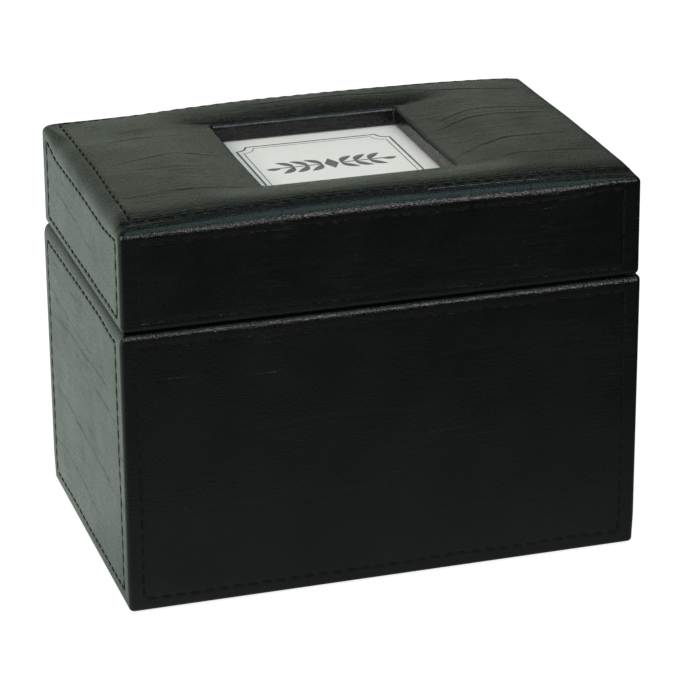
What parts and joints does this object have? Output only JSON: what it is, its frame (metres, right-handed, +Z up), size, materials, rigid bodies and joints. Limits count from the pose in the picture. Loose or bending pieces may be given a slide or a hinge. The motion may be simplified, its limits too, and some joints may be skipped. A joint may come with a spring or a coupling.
{
  "type": "index card box",
  "caption": "Leather-covered index card box with a deep padded lid hinged along the back and a window in the lid for a label card.",
  "frame": {"origin": "on the surface the box stands on, under the middle of its bounding box", "axes": "+X along the width, to the right seen from the front; +Y to the back, where the hinge is; +Z up"},
  "size_m": [0.178, 0.1168, 0.1368],
  "materials": {
    "cover_leather": "black bonded leather, fine pebble grain with long soft creases, satin sheen",
    "hinge_leather": "thin black leather strip, satin",
    "greyboard": "raw greyboard, matte",
    "lining_cloth": "black suede-like lining, matte",
    "bottom_felt": "black felt-like sheet, matte",
    "foam": "soft upholstery foam",
    "clear_film": "clear flexible film",
    "card": "white card with a thin grey printed frame"
  },
  "bodies": {
    "base": {"base_floor_board": "greyboard", "base_front_board": "greyboard", "base_rear_board": "greyboard", "base_left_board": "greyboard", "base_right_board": "greyboard", "base_floor_lining": "lining_cloth", "base_front_lining": "lining_cloth", "base_rear_lining": "lining_cloth", "base_left_lining": "lining_cloth", "base_right_lining": "lining_cloth", "base_cover": "cover_leather", "base_bottom_sheet": "bottom_felt", "hinge_strip": "hinge_leather"},
    "lid": {"lid_top_board": "greyboard", "lid_front_board": "greyboard", "lid_rear_board": "greyboard", "lid_left_board": "greyboard", "lid_right_board": "greyboard", "lid_padding": "foam", "lid_cover": "cover_leather", "lid_infill_board": "greyboard", "window_film": "clear_film", "label_card": "card", "lid_top_lining": "lining_cloth", "lid_front_lining": "lining_cloth", "lid_rear_lining": "lining_cloth", "lid_left_lining": "lining_cloth", "lid_right_lining": "lining_cloth"}
  },
  "joints": [
    {"name": "lid_hinge", "type": "hinge", "parent": "base", "child": "lid", "pos_m": [0, 0.0584, 0.0986], "axis": [-1, 0, 0], "range_deg": [0, 176], "deforming": ["hinge_strip"]}
  ]
}
